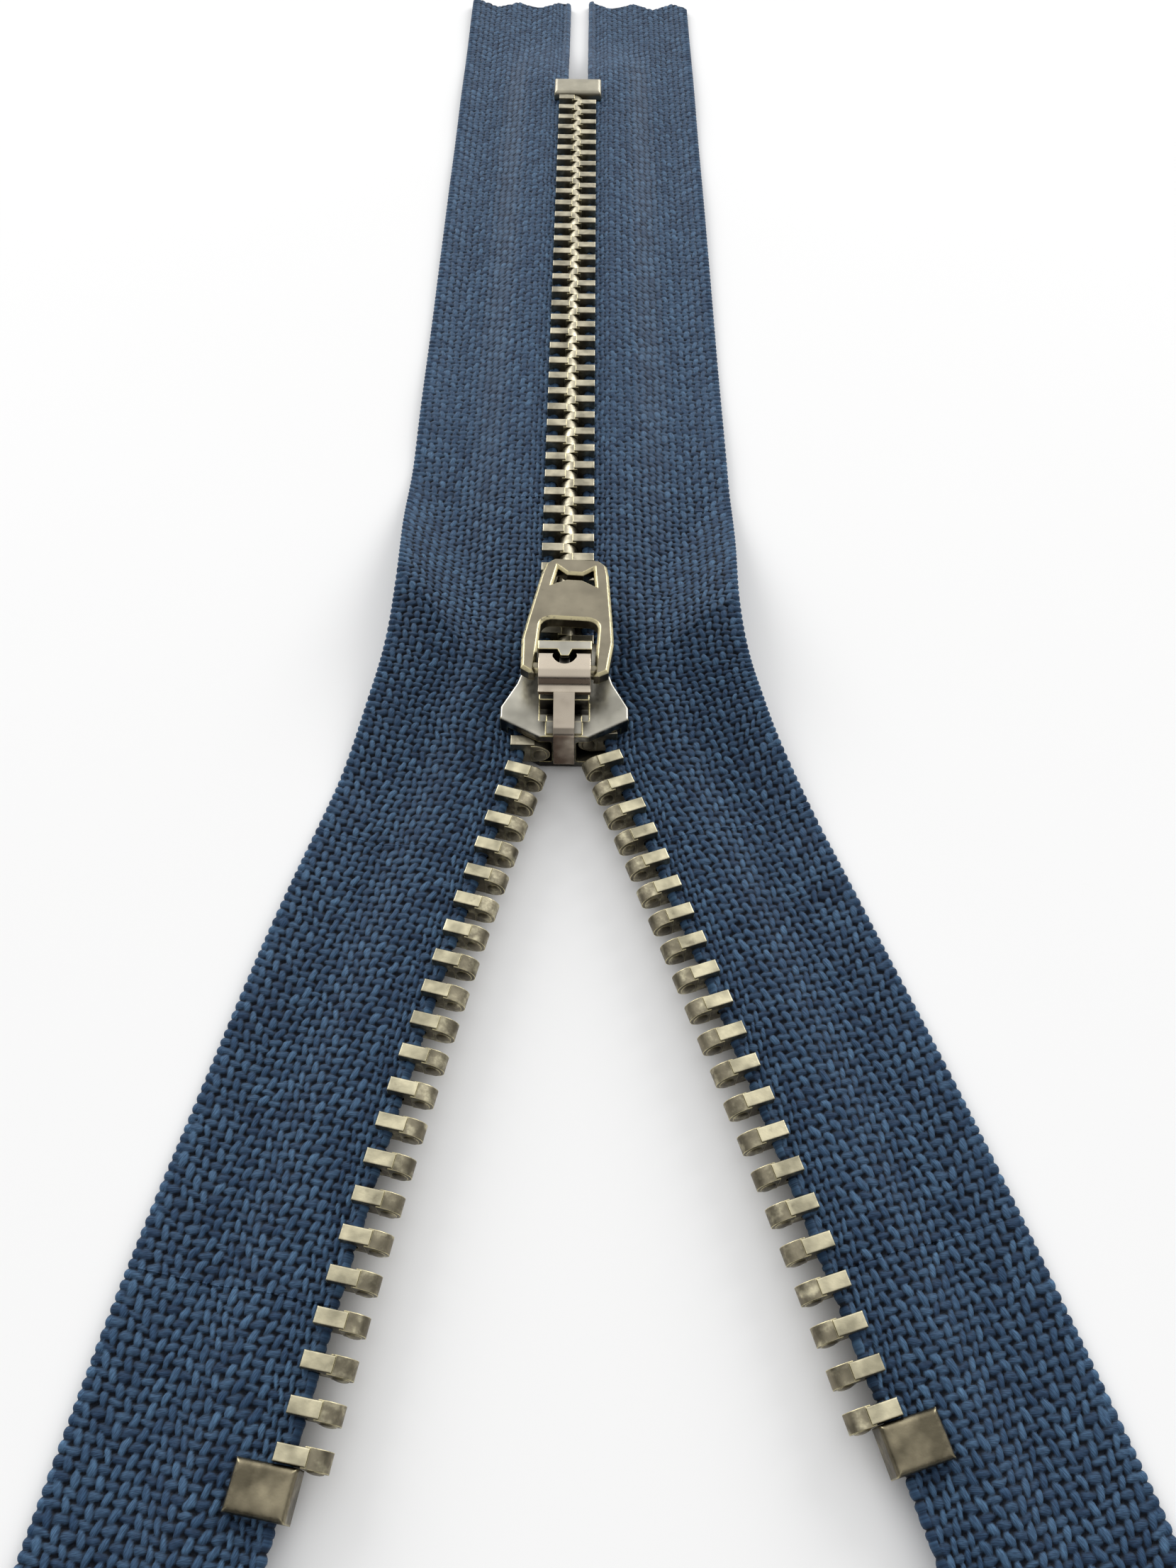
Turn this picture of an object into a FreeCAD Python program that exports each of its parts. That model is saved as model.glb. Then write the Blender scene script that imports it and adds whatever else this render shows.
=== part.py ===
"""Metal zipper, open from its slider down: two woven tapes, two rows of cast teeth, stops, locking slider.

Millimetres.  +Z is up, +Y runs along the chain towards the bottom stop, and the open legs run towards -Y.
The origin is the middle of the slider's lower plate, on the surface that the zipper lies on.
Each side is shaped as the right-hand one and mirrored for the left.
"""
import FreeCAD, Part
import Sketcher
import math
import os

V = FreeCAD.Vector
UP = V(0, 0, 1)
SIDES = ("left", "right")

doc = FreeCAD.newDocument("zipper")

# ---------------------------------------------------------------- driving dimensions
sheet = doc.addObject("Spreadsheet::Sheet", "Sizes")
SIZES = {
    # rows of teeth
    "tooth_pitch": 2.394, "tooth_length": 3.1, "tooth_thick": 0.95, "tooth_height": 2.3,
    "tooth_flat": 1.9, "tooth_step": 0.17, "tooth_grip": 1.05, "tooth_round": 0.08,
    "head_start": 1.6, "head_thick": 1.1, "nib_reach": 0.14, "nib_half": 0.52, "nib_height": 0.72,
    "nib_drop": 0.14, "socket_room": 0.08, "chain_half": 2.3, "chain_level": 2.05,
    # tape, from the row line outwards
    "tape_thick": 0.55, "tape_reach": 12.8, "level_width": 3.0, "slope_width": 5.2,
    "bead_inset": 0.62, "bead_radius": 0.45, "fit_gap": 0.02,
    "pink_pitch": 5.6, "pink_depth": 1.9,
    # lengths along the chain
    "stop_front": 96.4, "stop_length": 3.6, "stop_width": 5.9, "stop_height": 2.7, "stop_round": 0.5,
    "tail_length": 27.5, "end_length": 22.0, "top_stop_length": 2.7, "top_stop_inner": 1.57,
    "top_stop_outer": 2.0, "top_stop_gap": 0.1, "clip_round": 0.4,
    "fork_start": 3.4, "mouth_offset": 4.1, "mouth_level": -2.6, "mouth_turn": 8.0,
    # open legs
    "left_leg_offset": 4.42, "left_leg_level": -6.96, "left_leg_turn": 16.0, "left_leg_radius": 451.0,
    "right_leg_offset": 4.52, "right_leg_level": -5.8, "right_leg_turn": 20.6, "right_leg_radius": 716.0,
    "pivot_back": 1.2, "pivot_gap": 0.35, "leg_fold": 41.0, "half_fold": 13.0,
    # slider casting
    "plate_thick": 0.75, "channel_height": 2.6, "slot_height": 1.0, "nose_level": -4.9, "nose_half": 1.93,
    "shoulder_front": -3.15, "shoulder_back": -2.0, "shoulder_half": 5.05, "waist_level": 0.4,
    "rear_half": 3.5, "rear_level": 4.6, "channel_half": 2.8, "mouth_half": 4.4,
    "wedge_half": 0.95, "wedge_tip": -1.5, "wedge_flare": 0.2, "plate_round": 0.18,
    "crown_half": 2.1, "lug_front": 1.0, "lug_back": 1.85,
    "lug_top": 7.6, "tongue_tip": 0.35, "tongue_half": 0.5,
    "front_lug_half": 1.95, "front_lug_front": -2.8, "front_lug_back": -2.0, "front_lug_top": 6.05,
    # spring cover, claw and pull tab
    "cover_thick": 0.4, "cover_half": 2.02, "cover_leg_half": 0.82, "cover_top": 7.8,
    "claw_half": 0.4, "claw_thick": 0.22, "claw_tip": 3.3, "claw_arm": 6.72,
    "pull_thick": 1.2, "pull_level": 6.1, "pull_offset": 0.0, "bar_radius": 0.55, "pull_slope": 7.0,
    "pull_skew": 3.5, "window_half": 2.32, "window_end": 5.65, "window_round": 0.95,
    "pull_length": 13.4, "tip_round": 0.45, "pull_bevel": 0.22,
}
for row, (alias, value) in enumerate(SIZES.items(), start=1):
    sheet.set(f"A{row}", alias)
    sheet.set(f"B{row}", str(value))
    sheet.setAlias(f"B{row}", alias)
doc.recompute()


def size(alias):
    """Value of one cell of the sheet."""
    return float(sheet.get(alias))


SUBPARTS = []


def keep(thing, label):
    """Name an object of the document as a sub-part that gets its own file."""
    thing.Label = label
    SUBPARTS.append(thing)
    return thing


# ---------------------------------------------------------------- sketch helpers
def bind(thing, **bindings):
    """Bind properties of an object to formulas of the sheet's cells."""
    for prop, formula in bindings.items():
        thing.setExpression(prop, formula)


def plane_of(body, role):
    """One of the body's own origin planes."""
    for feature in body.Origin.OriginFeatures:
        if feature.Role == role:
            return feature
    raise ValueError(role)


def sketch_on(body, role, name, level=None):
    """Sketch on an origin plane of the body, lifted by a formula along the plane's normal."""
    sketch = body.newObject("Sketcher::SketchObject", name)
    sketch.AttachmentSupport = [(plane_of(body, role), "")]
    sketch.MapMode = "FlatFace"
    if level:
        sketch.setExpression("AttachmentOffset.Base.z", level)
    return sketch


def outline(sketch, corners):
    """Closed outline of straight edges; each corner is a pair of formulas of the sheet's cells."""
    first = sketch.GeometryCount
    count = len(corners)
    guess = [V(evaluate(across), evaluate(along), 0) for across, along in corners]
    for k in range(count):
        sketch.addGeometry(Part.LineSegment(guess[k], guess[(k + 1) % count]), False)
    for k in range(count):
        joint = (first + k, 2, first + (k + 1) % count, 1)
        sketch.addConstraint(Sketcher.Constraint("Coincident", *joint))
    for k, corner in enumerate(corners):
        for kind, formula in zip(("DistanceX", "DistanceY"), corner):
            index = sketch.addConstraint(Sketcher.Constraint(kind, -1, 1, first + k, 1, evaluate(formula)))
            sketch.setExpression(f"Constraints[{index}]", formula)


def evaluate(formula):
    """Value of a formula of the sheet's cells."""
    return float(sheet.evalExpression(formula))


def mirrored_outline(half):
    """Corners of the +X half, listed from -Y to +Y, closed by their mirror images."""
    return half + [(f"-({across})", along) for across, along in reversed(half)]


def pad(body, sketch, name, length, midplane=False, down=False):
    """Pad of a sketch whose length is a formula."""
    feature = body.newObject("PartDesign::Pad", name)
    feature.Profile = sketch
    feature.setExpression("Length", length)
    feature.Midplane = midplane
    feature.Reversed = down
    sketch.Visibility = False
    return feature


def pocket(body, sketch, name, length, midplane=False, up=True):
    """Pocket of a sketch that must remove material; up cuts along the sketch's normal."""
    doc.recompute()
    before = body.Shape.Volume
    feature = body.newObject("PartDesign::Pocket", name)
    feature.Profile = sketch
    feature.setExpression("Length", length)
    feature.Midplane = midplane
    feature.Reversed = up
    doc.recompute()
    if body.Shape.Volume > before - 1e-3:
        raise RuntimeError(f"{name} cuts nothing")
    return feature


def edges_where(shape, test):
    """Names of the edges whose middle point passes the test."""
    names = []
    for number, edge in enumerate(shape.Edges, start=1):
        middle = edge.valueAt((edge.FirstParameter + edge.LastParameter) / 2)
        if test(edge, middle):
            names.append(f"Edge{number}")
    return names


def soften(body, name, kind, amount, test):
    """Fillet or chamfer, as large as a cell says, on the edges of the body's tip that pass the test."""
    doc.recompute()
    base = body.Tip
    feature = body.newObject(f"PartDesign::{kind}", name)
    feature.Base = (base, edges_where(base.Shape, test))
    feature.setExpression("Radius" if kind == "Fillet" else "Size", f"Sizes.{amount}")
    doc.recompute()
    return feature


def is_upright(edge):
    """Whether an edge is a straight one along Z."""
    return isinstance(edge.Curve, Part.Line) and abs(edge.Curve.Direction.z) > 0.99


# ---------------------------------------------------------------- line that a row of teeth follows
class RowLine:
    """Plan of the outer ends of one row's teeth: closed chain, fork inside the slider, curved open leg."""

    def __init__(self, side):
        self.side = side
        self.turn = math.radians(size(f"{side}_leg_turn"))
        self.radius = size(f"{side}_leg_radius")
        leg_start = V(size(f"{side}_leg_offset"), size(f"{side}_leg_level"), 0)
        self.centre = leg_start - V(math.cos(self.turn), math.sin(self.turn), 0) * self.radius
        chain_end = V(size("chain_half"), size("stop_front"), 0)
        fork = V(size("chain_half"), size("fork_start"), 0)
        mouth = V(size("mouth_offset"), size("mouth_level"), 0)
        mouth_turn = math.radians(size("mouth_turn"))
        self.edges = [
            Part.LineSegment(chain_end, fork).toShape(),
            self.bend(fork, 0.0, mouth, mouth_turn),
            self.bend(mouth, mouth_turn, leg_start, self.turn),
        ]
        self.leg_start = sum(edge.Length for edge in self.edges)

    @staticmethod
    def heading(turn):
        return V(math.sin(turn), -math.cos(turn), 0)

    def bend(self, start, start_turn, end, end_turn):
        """Smooth curve that leaves and arrives in the given headings."""
        handle = (end - start).Length / 3
        curve = Part.BezierCurve()
        curve.setPoles([start, start + self.heading(start_turn) * handle,
                        end - self.heading(end_turn) * handle, end])
        return curve.toShape()

    def leg_angle(self, past):
        """Angle about the leg's centre at a distance past the leg's start."""
        return self.turn - past / self.radius

    def at(self, distance):
        """Point and turn (radians) at a distance along the line from the bottom stop."""
        if distance >= self.leg_start - size("pivot_back") - size("pivot_gap"):
            angle = self.leg_angle(distance - self.leg_start)
            return self.centre + V(math.cos(angle), math.sin(angle), 0) * self.radius, angle
        for edge in self.edges:
            if distance <= edge.Length:
                spot = edge.getParameterByLength(distance)
                tangent = edge.tangentAt(spot)
                return edge.valueAt(spot), math.atan2(tangent.x, -tangent.y)
            distance -= edge.Length

    def pivot(self):
        """Where the open leg swings, on the row line just outside the slider's mouth."""
        return self.at(self.leg_start - size("pivot_back"))


LINES = {side: RowLine(side) for side in SIDES}


def set_side(shape, side):
    """The right-hand shape itself, or its mirror image for the left."""
    return shape.mirror(V(0, 0, 0), V(1, 0, 0)) if side == "left" else shape


# ---------------------------------------------------------------- woven tapes and their bead cords
def tape_section():
    """Face across the tape in XZ, X measured from the row line outwards."""
    level = size("chain_level")
    low = size("tape_thick") / 2
    inner = -size("tooth_grip")
    slope_start = size("level_width")
    slope_end = slope_start + size("slope_width")
    half_slope = size("slope_width") / 2
    edges = []
    rims = []
    for lift in (low, -low):
        start = V(inner, 0, level + lift)
        brow = V(slope_start, 0, level + lift)
        foot = V(slope_end, 0, low + lift)
        rim = V(size("tape_reach"), 0, low + lift)
        curve = Part.BezierCurve()
        curve.setPoles([brow, brow + V(half_slope, 0, 0), foot - V(half_slope, 0, 0), foot])
        edges += [Part.LineSegment(start, brow).toShape(), curve.toShape(),
                  Part.LineSegment(foot, rim).toShape()]
        rims.append((start, rim))
    edges.append(Part.LineSegment(rims[0][0], rims[1][0]).toShape())
    edges.append(Part.LineSegment(rims[0][1], rims[1][1]).toShape())
    return Part.Face(Part.Wire(Part.__sortEdges__(edges)))


def bead_section():
    """Round face of the bead cord in XZ, X measured from the row line outwards."""
    middle = V(-size("bead_inset"), 0, size("chain_level"))
    return Part.Face(Part.Wire(Part.Circle(middle, V(0, 1, 0), size("bead_radius")).toShape()))


def pinking(width, base, direction):
    """Solid that cuts a zigzag across a tape end: straight to base, teeth standing in the direction of Y."""
    depth = size("pink_depth")
    step = size("pink_pitch") / 2
    far = base + direction * 10 * depth
    points = [V(-width, far, -5), V(-width, base, -5)]
    count = int(2 * width / step) + 1
    for k in range(1, count + 1):
        points.append(V(-width + k * step, base - direction * depth * (k % 2), -5))
    points.append(V(points[-1].x, far, -5))
    points.append(points[0])
    return Part.Face(Part.makePolygon(points)).extrude(UP * 15)


def straight_run(face, low, high):
    """The section drawn along the closed chain between two levels of Y."""
    return face.translated(V(size("chain_half"), low, 0)).extrude(V(0, high - low, 0))


def fork_run(face, line, end):
    """The section drawn along the fork, each cross-section kept parallel to XZ."""
    start = line.edges[0].Length
    count = 12
    wires = []
    for k in range(count + 1):
        point, turn = line.at(start + (end - start) * k / count)
        wires.append(face.OuterWire.translated(point))
    return Part.makeLoft(wires, True, False)


def leg_run(face, line, start, end):
    """The section turned about the leg's centre between two distances past the leg's start."""
    first = line.leg_angle(start)
    sweep = math.degrees(line.leg_angle(end) - first)
    section = face.translated(V(line.radius, 0, 0))
    section.rotate(V(0, 0, 0), UP, math.degrees(first))
    section.translate(line.centre)
    return section.revolve(line.centre, UP, sweep)


def fold_cut(corner, turn, away):
    """Half-space solid beyond the plan line through corner that runs outwards at a turn from +X."""
    block = Part.makeBox(60, 60, 20, V(-20, 0 if away > 0 else -60, -5))
    block.rotate(V(0, 0, 0), UP, turn)
    block.translate(corner)
    return block


def half_tape(face, line):
    """Tape or bead of the closed chain and the fork, cut back so that leg and half can swing."""
    stop = size("stop_front")
    gap = size("pivot_gap")
    fork_end = line.leg_start - size("pivot_back") - 2 * gap
    run = straight_run(face, size("fork_start"), stop).fuse(fork_run(face, line, fork_end))
    pivot, turn = line.pivot()
    heading = line.heading(turn)
    run = run.cut(fold_cut(pivot - heading * gap - V(size("tooth_grip"), 0, 0), size("leg_fold"), -1))
    return run.cut(fold_cut(V(0, stop - gap, 0), -size("half_fold"), 1))


def leg_length():
    """Length of an open leg from its first tooth to its last, beside the top stop."""
    return size("tooth_pitch") * (LEG_TEETH - 1)


def leg_tape(face, line, pinked):
    """Tape of an open leg, pinked at its free end, or its bead, which ends square and a little shorter."""
    start = size("pivot_gap") - size("pivot_back")
    end = leg_length() + size("top_stop_length") + size("end_length")
    if not pinked:
        return leg_run(face, line, start, end - size("pink_depth"))
    run = leg_run(face, line, start, end)
    point, turn = line.at(line.leg_start + end)
    cutter = pinking(2 * size("tape_reach"), 0, -1)
    cutter.rotate(V(0, 0, 0), UP, math.degrees(turn))
    cutter.translate(point)
    return run.cut(cutter)


def tail_tape(face, pinked):
    """Tape past the bottom stop, pinked at its end, or its bead; both start inside the stop."""
    start = size("stop_front") + size("pivot_gap")
    end = size("stop_front") + size("stop_length") + size("tail_length")
    if not pinked:
        return straight_run(face, start, end - size("pink_depth"))
    return straight_run(face, start, end).cut(pinking(2 * size("tape_reach"), end, 1))


def feature(label, shape):
    """Part::Feature that holds a swept shape."""
    thing = doc.addObject("Part::Feature", label)
    thing.Shape = shape
    return keep(thing, label)


LEG_TEETH = 21
for side in SIDES:
    for stem, section in (("tape", tape_section()), ("bead_cord", bead_section())):
        row_line = LINES[side]
        pinked = stem == "tape"
        feature(f"{side}_closed_{stem}", set_side(half_tape(section, row_line), side))
        feature(f"{side}_leg_{stem}", set_side(leg_tape(section, row_line, pinked), side))
        feature(f"{side}_tail_{stem}", set_side(tail_tape(section, pinked), side))


# ---------------------------------------------------------------- one tooth, and the rows made of it
def build_tooth():
    """Cast tooth: bullet head towards -X, two legs that clamp the tape's bead, a nib and its socket."""
    body = doc.addObject("PartDesign::Body", "tooth")
    body.Label = "tooth_pattern"
    sketch = sketch_on(body, "XZ_Plane", "tooth_profile")
    half = size("tooth_height") / 2
    flat = size("tooth_flat")
    length = size("tooth_length")
    head = half - size("tooth_step")
    nose = Part.ArcOfEllipse(Part.Ellipse(V(-flat, 0, 0), length - flat, head),
                             math.pi / 2, 3 * math.pi / 2)
    rim = [V(-flat, head, 0), V(-flat, half, 0), V(0, half, 0), V(0, -half, 0), V(-flat, -half, 0),
           V(-flat, -head, 0)]
    for start, end in zip(rim, rim[1:]):
        sketch.addGeometry(Part.LineSegment(start, end), False)
    sketch.addGeometry(nose, False)
    pad(body, sketch, "tooth_block", "Sizes.tooth_thick", midplane=True)
    soften(body, "tooth_corners", "Fillet", "tooth_round",
           lambda edge, middle: abs(middle.z) > 1e-3 and abs(middle.x + flat) > 1e-3)
    slot = sketch_on(body, "XZ_Plane", "tape_slot_profile")
    slot_half = "(Sizes.tape_thick / 2 + Sizes.fit_gap)"
    outline(slot, [("-Sizes.tooth_grip - Sizes.fit_gap", f"-{slot_half}"), ("1", f"-{slot_half}"),
                   ("1", slot_half), ("-Sizes.tooth_grip - Sizes.fit_gap", slot_half)])
    pocket(body, slot, "tape_slot", "2 * Sizes.tooth_thick", midplane=True)
    bore = sketch_on(body, "XZ_Plane", "bead_bore_profile")
    bore.addGeometry(Part.Circle(V(-size("bead_inset"), 0, 0), UP, size("bead_radius")), False)
    index = bore.addConstraint(Sketcher.Constraint("Radius", 0, size("bead_radius")))
    bore.setExpression(f"Constraints[{index}]", "Sizes.bead_radius + Sizes.fit_gap")
    pocket(body, bore, "bead_bore", "2 * Sizes.tooth_thick", midplane=True)
    wide = sketch_on(body, "XZ_Plane", "head_profile")
    start = -size("head_start")
    cheek = [V(-flat, head, 0), V(start, head, 0), V(start, -head, 0), V(-flat, -head, 0)]
    for first, second in zip(cheek, cheek[1:]):
        wide.addGeometry(Part.LineSegment(first, second), False)
    wide.addGeometry(nose, False)
    pad(body, wide, "head", "Sizes.head_thick", midplane=True)
    dimple(body, "nib", "Additive", "-Sizes.head_thick / 2", "0")
    dimple(body, "socket", "Subtractive", "Sizes.head_thick / 2", "Sizes.socket_room")
    return body


def dimple(body, name, kind, across, room):
    """Ellipsoid on a side face of the head: the nib, or the socket that has some room for one."""
    thing = body.newObject(f"PartDesign::{kind}Ellipsoid", name)
    thing.AttachmentSupport = [(plane_of(body, "XY_Plane"), "")]
    thing.MapMode = "FlatFace"
    thing.setExpression("AttachmentOffset.Base.x", "-Sizes.chain_half")
    thing.setExpression("AttachmentOffset.Base.y", across)
    thing.setExpression("AttachmentOffset.Base.z", "-Sizes.nib_drop")
    bind(thing, Radius1=f"Sizes.nib_height + {room}", Radius2=f"Sizes.nib_half + {room}",
         Radius3=f"Sizes.nib_reach + {room} / 4")


TOOTH = build_tooth()
doc.recompute()


def row_group(label, line, distances):
    """Separate teeth at the given distances along the row line."""
    teeth = []
    for distance in distances:
        point, turn = line.at(distance)
        tooth = TOOTH.Shape.copy()
        spin = FreeCAD.Rotation(UP, math.degrees(turn))
        tooth.Placement = FreeCAD.Placement(point + UP * size("chain_level"), spin)
        teeth.append(set_side(tooth, line.side))
    feature(label, Part.makeCompound(teeth))


def row_shift(line):
    """Slide of a row along its line that sets the right row half a pitch off the left one."""
    if line.side == "left":
        return 0.0
    offset = (line.leg_start - LINES["left"].leg_start) / size("tooth_pitch") - 0.5
    return (round(offset) - offset) * size("tooth_pitch")


GROUP = 8
for side in SIDES:
    row_line = LINES[side]
    pitch = size("tooth_pitch")
    closed_count = int(row_line.leg_start / pitch - 0.25)
    first_leg_tooth = row_line.leg_start + row_shift(row_line)
    closed = [first_leg_tooth - pitch * k for k in range(closed_count, 0, -1)]
    leg = [first_leg_tooth + pitch * k for k in range(LEG_TEETH)]
    for stem, places in (("closed", closed), ("leg", leg)):
        for first in range(0, len(places), GROUP):
            number = first // GROUP + 1
            row_group(f"{side}_{stem}_teeth_{number}", row_line, places[first:first + GROUP])


# ---------------------------------------------------------------- stops
def build_clip(label, inner, outer, length, height):
    """Folded metal clip that holds a bead and the tape beside it: a rounded block, slotted on its +X side."""
    body = doc.addObject("PartDesign::Body", label)
    sketch = sketch_on(body, "XY_Plane", f"{label}_plan", f"-{height} / 2")
    outline(sketch, [(outer, "0"), (outer, length), (f"-{inner}", length), (f"-{inner}", "0")])
    pad(body, sketch, f"{label}_block", height)
    half = evaluate(height) / 2
    soften(body, f"{label}_round", "Fillet", "clip_round", lambda edge, middle: abs(abs(middle.z) - half) < 1e-3)
    slot = sketch_on(body, "XY_Plane", f"{label}_slot_plan", "-Sizes.tape_thick / 2 - Sizes.fit_gap")
    outline(slot, [(f"{outer} + 1", "-1"), (f"{outer} + 1", f"{length} + 1"),
                   ("-Sizes.tooth_grip - Sizes.fit_gap", f"{length} + 1"),
                   ("-Sizes.tooth_grip - Sizes.fit_gap", "-1")])
    pocket(body, slot, f"{label}_slot", "Sizes.tape_thick + 2 * Sizes.fit_gap")
    bore = sketch_on(body, "XZ_Plane", f"{label}_bore_profile")
    bore.addGeometry(Part.Circle(V(-size("bead_inset"), 0, 0), UP, size("bead_radius")), False)
    index = bore.addConstraint(Sketcher.Constraint("Radius", 0, size("bead_radius")))
    bore.setExpression(f"Constraints[{index}]", "Sizes.bead_radius + Sizes.fit_gap")
    pocket(body, bore, f"{label}_bore", f"4 * {length}", midplane=True)
    return body


for side in SIDES:
    row_line = LINES[side]
    clip = build_clip(f"{side}_top_stop_body", "Sizes.top_stop_inner", "Sizes.top_stop_outer",
                      "Sizes.top_stop_length", "Sizes.tooth_height")
    doc.recompute()
    past = leg_length() + row_shift(row_line) + size("tooth_thick") / 2
    past += size("top_stop_gap") + size("top_stop_length")
    point, turn = row_line.at(row_line.leg_start + past)
    spin = FreeCAD.Rotation(UP, math.degrees(turn))
    place = FreeCAD.Placement(point + UP * size("chain_level"), spin)
    if side == "left":
        clip_shape = clip.Shape.copy()
        clip_shape.Placement = place
        feature("left_top_stop", set_side(clip_shape, side))
    else:
        clip.Placement = place
        keep(clip, "right_top_stop")


def build_bottom_stop():
    """Stop clamped over both beads at the chain's end, slotted for a tape on each side."""
    body = doc.addObject("PartDesign::Body", "bottom_stop_body")
    level = "Sizes.chain_level"
    sketch = sketch_on(body, "XY_Plane", "stop_plan", f"{level} - Sizes.stop_height / 2")
    outline(sketch, mirrored_outline([("Sizes.stop_width / 2", "Sizes.stop_front"),
                                      ("Sizes.stop_width / 2", "Sizes.stop_front + Sizes.stop_length")]))
    pad(body, sketch, "stop_block", "Sizes.stop_height")
    inner = "Sizes.chain_half - Sizes.tooth_grip - Sizes.fit_gap"
    for name, sign in (("left", "-"), ("right", "")):
        slot = sketch_on(body, "XY_Plane", f"{name}_stop_slot_plan",
                         f"{level} - Sizes.tape_thick / 2 - Sizes.fit_gap")
        outline(slot, [(f"{sign}({inner})", "Sizes.stop_front - 1"),
                       (f"{sign}Sizes.stop_width", "Sizes.stop_front - 1"),
                       (f"{sign}Sizes.stop_width", "Sizes.stop_front + Sizes.stop_length + 1"),
                       (f"{sign}({inner})", "Sizes.stop_front + Sizes.stop_length + 1")])
        pocket(body, slot, f"{name}_stop_slot", "Sizes.tape_thick + 2 * Sizes.fit_gap")
        bore = body.newObject("PartDesign::SubtractiveCylinder", f"{name}_stop_bore")
        bore.AttachmentSupport = [(plane_of(body, "XZ_Plane"), "")]
        bore.MapMode = "FlatFace"
        bore.setExpression("AttachmentOffset.Base.x", f"{sign}(Sizes.chain_half - Sizes.bead_inset)")
        bore.setExpression("AttachmentOffset.Base.y", level)
        bore.setExpression("AttachmentOffset.Base.z", "-Sizes.stop_front - Sizes.stop_length - 1")
        bore.setExpression("Radius", "Sizes.bead_radius + Sizes.fit_gap")
        bore.setExpression("Height", "Sizes.stop_length + 2")
    top = size("chain_level") + size("stop_height") / 2
    bottom = size("chain_level") - size("stop_height") / 2
    soften(body, "stop_edges", "Fillet", "stop_round",
           lambda edge, middle: min(abs(middle.z - top), abs(middle.z - bottom)) < 1e-3)
    return keep(body, "bottom_stop")


build_bottom_stop()


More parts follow.
